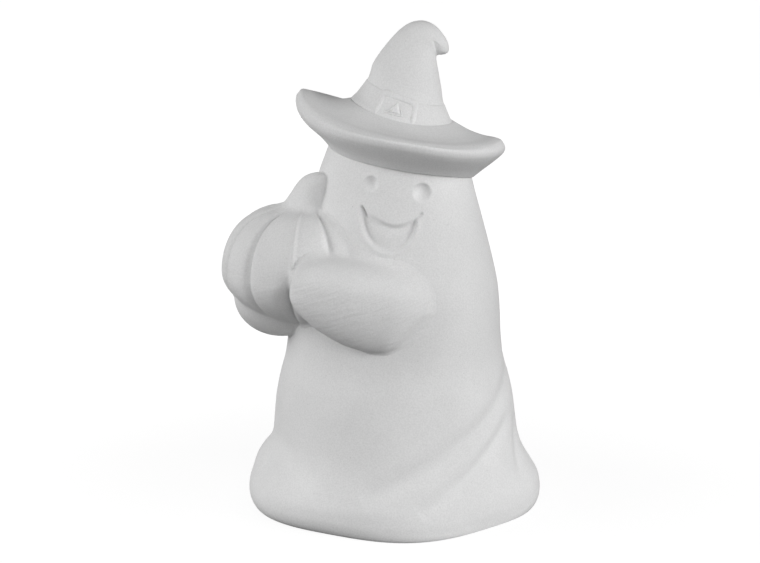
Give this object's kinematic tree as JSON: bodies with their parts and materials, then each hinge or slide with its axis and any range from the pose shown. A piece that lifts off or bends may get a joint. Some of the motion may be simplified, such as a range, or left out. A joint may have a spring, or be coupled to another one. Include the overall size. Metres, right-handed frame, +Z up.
{
  "type": "ceramic ghost figure",
  "caption": "Free-standing hollow figure of a smiling ghost in a draped sheet, wearing a tilted witch hat with a curled tip and hugging a ribbed pumpkin at its side.",
  "frame": {"origin": "middle of the pour hole in the flat foot, on the surface the figure stands on", "axes": "+Z up, the face looks along -Y, +X is the ghost's left, so the pumpkin is on the -X side"},
  "size_m": [0.0998, 0.0924, 0.1498],
  "materials": {
    "bisque": "white unglazed earthenware, fired once, matt and chalky, with fine pinholes"
  },
  "bodies": {
    "root": {"ghost_body": "bisque", "hat_brim": "bisque", "hat_crown": "bisque", "hat_band": "bisque", "buckle_frame": "bisque", "buckle_tongue": "bisque", "pumpkin": "bisque", "pumpkin_stem": "bisque", "left_arm": "bisque", "right_arm": "bisque"}
  },
  "joints": []
}
